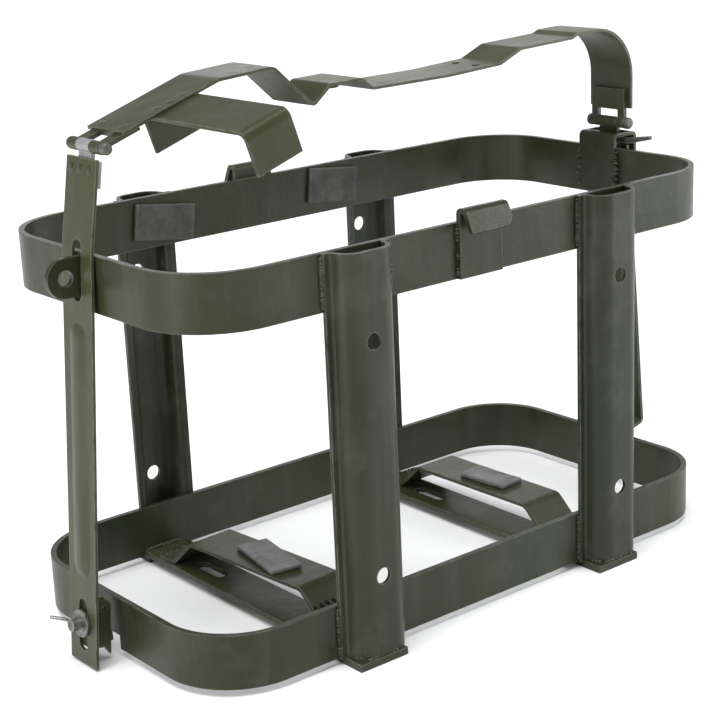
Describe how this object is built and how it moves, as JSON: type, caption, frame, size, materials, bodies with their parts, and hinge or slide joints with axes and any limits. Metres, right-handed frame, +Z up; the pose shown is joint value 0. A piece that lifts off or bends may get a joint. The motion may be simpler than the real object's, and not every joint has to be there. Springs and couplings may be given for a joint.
{
  "type": "jerrycan holder",
  "caption": "Open welded steel-strip holder for a fuel or water can, with hat-section posts, sprung bottom supports and a hinged hold-down strap closed by a padlock ear.",
  "frame": {"origin": "on the floor under the middle of the two rings", "axes": "+X along the holder towards the sliding bar, -X towards the closure bar and padlock ear, -Y front, +Z up"},
  "size_m": [0.4104, 0.209, 0.2852],
  "materials": {
    "olive_paint": "satin olive drab paint, worn on edges",
    "worn_steel": "olive paint worn thin over steel",
    "bare_steel": "dull bare steel",
    "pad_rubber": "grey rubber, overpainted edges"
  },
  "bodies": {
    "frame": {"upper_ring": "olive_paint", "lower_ring": "olive_paint", "post_front_left": "olive_paint", "post_front_right": "olive_paint", "post_back_left": "olive_paint", "post_back_right": "olive_paint", "foot_front_left": "olive_paint", "foot_front_right": "olive_paint", "foot_back_left": "olive_paint", "foot_back_right": "olive_paint", "support_strap_left": "olive_paint", "support_strap_right": "olive_paint", "support_bridge_left": "olive_paint", "support_bridge_right": "olive_paint", "support_pad_left": "pad_rubber", "support_pad_right": "pad_rubber", "wall_pad_left": "pad_rubber", "wall_pad_right": "pad_rubber", "hook_clip_front": "olive_paint", "hook_clip_back": "olive_paint", "padlock_ear": "olive_paint", "slide_bracket": "olive_paint"},
    "slide_bar": {"slide_bar": "olive_paint", "slide_bar_link": "olive_paint"},
    "cross_pin": {"cross_pin": "worn_steel"},
    "strap": {"top_strap": "olive_paint", "saddle_plate": "olive_paint", "strap_rivet": "olive_paint", "right_hinge_leaf": "olive_paint", "right_hinge_pin": "worn_steel", "left_hinge_leaf": "olive_paint", "left_hinge_pin": "worn_steel"},
    "closure_bar": {"closure_bar": "olive_paint", "closure_bar_link": "worn_steel"},
    "keeper": {"keeper_body": "olive_paint", "keeper_stud": "bare_steel", "keeper_washer": "bare_steel", "keeper_split_pin": "bare_steel"}
  },
  "joints": [
    {"name": "slide_bar_lift", "type": "slide", "parent": "frame", "child": "slide_bar", "axis": [-0.0793, 0, 0.9968], "range_m": [0, 0.0006]},
    {"name": "cross_pin_pull", "type": "slide", "parent": "slide_bar", "child": "cross_pin", "axis": [0, 1, 0], "range_m": [-0.002, 0.0025]},
    {"name": "strap_lift", "type": "hinge", "parent": "slide_bar", "child": "strap", "pos_m": [0.187, 0, 0.2226], "axis": [0, 1, 0], "range_deg": [0, 0.3]},
    {"name": "closure_bar_swing", "type": "hinge", "parent": "strap", "child": "closure_bar", "pos_m": [-0.1692, 0, 0.2584], "axis": [0, 1, 0], "range_deg": [0, 105]},
    {"name": "keeper_slide", "type": "slide", "parent": "closure_bar", "child": "keeper", "axis": [0.0794, 0, 0.9968], "range_m": [-0.003, 0.008]}
  ]
}
